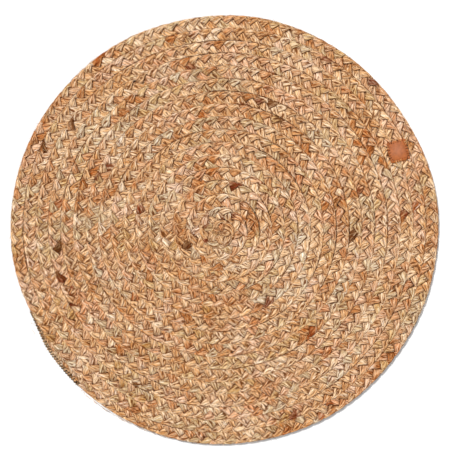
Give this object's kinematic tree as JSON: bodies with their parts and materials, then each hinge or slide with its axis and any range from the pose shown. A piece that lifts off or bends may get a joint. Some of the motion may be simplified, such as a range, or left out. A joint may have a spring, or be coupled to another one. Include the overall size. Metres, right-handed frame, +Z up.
{
  "type": "area rug",
  "caption": "Round flat rug of one jute plait wound in a spiral and sewn row to row, with a small leather patch near its rim.",
  "frame": {"origin": "on the floor, under the middle of the rug's outline", "axes": "+Z up; the leather patch is near the rim in the +X, +Y quarter, and the plait's outer end in the -X, -Y quarter"},
  "size_m": [0.8997, 0.9019, 0.0114],
  "materials": {
    "jute": "golden beige jute fibre, uneven from length to length",
    "seam_twine": "thin undyed jute twine",
    "whipping_twine": "coarse dark greenish brown twine, fuzzy",
    "leather": "tan leather, slightly pinkish in the middle",
    "patch_thread": "red-brown waxed thread"
  },
  "bodies": {
    "root": {"centre_stitches": "seam_twine", "leather_patch": "leather", "patch_stitches": "patch_thread", "seam_thread": "seam_twine", "tail_whipping": "whipping_twine", "turn_01_strand_a": "jute", "turn_01_strand_b": "jute", "turn_01_strand_c": "jute", "turn_02_strand_a": "jute", "turn_02_strand_b": "jute", "turn_02_strand_c": "jute", "turn_03_strand_a": "jute", "turn_03_strand_b": "jute", "turn_03_strand_c": "jute", "turn_04_strand_a": "jute", "turn_04_strand_b": "jute", "turn_04_strand_c": "jute", "turn_05_strand_a": "jute", "turn_05_strand_b": "jute", "turn_05_strand_c": "jute", "turn_06_strand_a": "jute", "turn_06_strand_b": "jute", "turn_06_strand_c": "jute", "turn_07_strand_a": "jute", "turn_07_strand_b": "jute", "turn_07_strand_c": "jute", "turn_08_strand_a": "jute", "turn_08_strand_b": "jute", "turn_08_strand_c": "jute", "turn_09_strand_a": "jute", "turn_09_strand_b": "jute", "turn_09_strand_c": "jute", "turn_10_strand_a": "jute", "turn_10_strand_b": "jute", "turn_10_strand_c": "jute", "turn_11_strand_a": "jute", "turn_11_strand_b": "jute", "turn_11_strand_c": "jute", "turn_12_strand_a": "jute", "turn_12_strand_b": "jute", "turn_12_strand_c": "jute", "turn_13_strand_a": "jute", "turn_13_strand_b": "jute", "turn_13_strand_c": "jute", "turn_14_strand_a": "jute", "turn_14_strand_b": "jute", "turn_14_strand_c": "jute", "turn_15_strand_a": "jute", "turn_15_strand_b": "jute", "turn_15_strand_c": "jute", "turn_16_strand_a": "jute", "turn_16_strand_b": "jute", "turn_16_strand_c": "jute", "turn_17_strand_a": "jute", "turn_17_strand_b": "jute", "turn_17_strand_c": "jute"}
  },
  "joints": []
}
